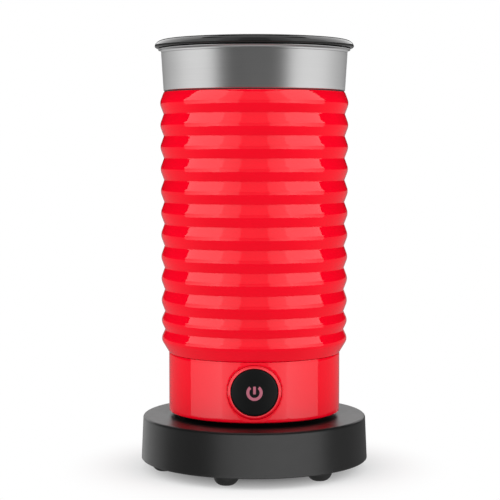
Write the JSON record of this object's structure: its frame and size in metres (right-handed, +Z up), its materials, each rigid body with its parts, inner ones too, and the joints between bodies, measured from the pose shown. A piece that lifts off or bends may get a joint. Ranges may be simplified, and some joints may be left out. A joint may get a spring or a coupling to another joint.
{
  "type": "milk frothing pitcher",
  "caption": "Electric milk frothing pitcher with a ribbed sleeve, steel collar, flat lid, push button and lift-off round power base.",
  "frame": {"origin": "centre of the footprint, on the plane under the feet", "axes": "+Z up along the pitcher axis, the push button faces -Y, +X to the right seen from the button side"},
  "size_m": [0.1008, 0.1008, 0.19],
  "materials": {
    "black_plastic": "fine textured, semi matt",
    "grey_plastic": "moulded, matt",
    "white_plastic": "moulded, matt",
    "whisk_plastic": "moulded, satin",
    "rubber": "matt",
    "brass": "machined",
    "zinc_steel": "zinc plated",
    "brushed_steel": "brushed round the axis, satin",
    "bright_steel": "polished",
    "red_gloss": "glossy lacquer",
    "red_bezel": "glossy",
    "aluminium": "pressed, satin",
    "heater_steel": "heat tinted",
    "ceramic": "unglazed",
    "circuit_board": "solder mask",
    "board_parts": "moulded component cases",
    "copper": "enamelled windings",
    "magnet": "nickel plated",
    "black_gloss": "glossy",
    "black_satin": "satin",
    "icon_pink": "translucent",
    "smoked": "clear, smoked"
  },
  "bodies": {
    "base": {"base_housing": "black_plastic", "base_bottom": "black_plastic", "base_feet": "rubber", "power_post": "black_plastic", "post_contacts": "brass", "base_terminals": "brass", "base_screws": "zinc_steel", "cord_gland": "rubber", "cord_clamp": "grey_plastic", "clamp_screws": "zinc_steel"},
    "coupler": {"power_socket": "black_plastic", "socket_contacts": "brass"},
    "jug": {"milk_vessel": "brushed_steel", "rib_sleeve": "red_gloss", "lower_skirt": "red_gloss", "skirt_base": "black_plastic", "collar_seal": "rubber", "socket_retainer": "grey_plastic", "retainer_screws": "zinc_steel", "skirt_screws": "zinc_steel", "button_bezel": "red_bezel", "heater_plate": "aluminium", "heater_ring": "heater_steel", "temp_sensor": "white_plastic", "thermal_fuse": "ceramic", "motor_can": "zinc_steel", "motor_bearings": "brass", "motor_bracket": "aluminium", "bracket_screws": "zinc_steel", "control_board": "circuit_board", "board_parts": "board_parts", "board_screws": "zinc_steel", "switch_board": "circuit_board", "tact_switch": "grey_plastic", "status_leds": "icon_pink", "wire_harness": "white_plastic", "whisk_post": "bright_steel", "button_spring": "bright_steel"},
    "rotor": {"motor_shaft": "bright_steel", "motor_armature": "copper", "magnet_carrier": "white_plastic", "drive_magnets": "magnet"},
    "button": {"button_cap": "black_satin", "power_icon": "icon_pink", "button_plunger": "white_plastic"},
    "whisk_bush": {"whisk_bush": "white_plastic"},
    "whisk": {"whisk_hub": "whisk_plastic", "whisk_magnets": "magnet", "whisk_frame": "bright_steel", "whisk_coil": "bright_steel"},
    "lid": {"lid_cover": "black_gloss", "lid_seal": "rubber", "lid_window": "smoked", "lid_grip": "black_gloss", "grip_screw": "zinc_steel"}
  },
  "joints": [
    {"name": "jug_lift", "type": "slide", "parent": "base", "child": "coupler", "axis": [0, 0, 1], "range_m": [0, 0.06]},
    {"name": "jug_turn", "type": "hinge", "parent": "coupler", "child": "jug", "pos_m": [0, 0, 0.03], "axis": [0, 0, 1], "continuous": true},
    {"name": "lid_lift", "type": "slide", "parent": "jug", "child": "lid", "axis": [0, 0, 1], "range_m": [0, 0.05]},
    {"name": "button_press", "type": "slide", "parent": "jug", "child": "button", "axis": [0, 1, 0], "range_m": [0, 0.001], "stiffness_N_per_m": 400, "springref_m": -0.002, "deforming": ["button_spring"]},
    {"name": "motor_spin", "type": "hinge", "parent": "jug", "child": "rotor", "pos_m": [0, 0, 0.056], "axis": [0, 0, 1], "continuous": true},
    {"name": "whisk_lift", "type": "slide", "parent": "jug", "child": "whisk_bush", "axis": [0, 0, 1], "range_m": [0, 0.08]},
    {"name": "whisk_spin", "type": "hinge", "parent": "whisk_bush", "child": "whisk", "pos_m": [0, 0, 0.08], "axis": [0, 0, 1], "continuous": true}
  ],
  "couplings": [
    {"joint": "whisk_spin", "follows": "motor_spin", "ratio": 1}
  ]
}
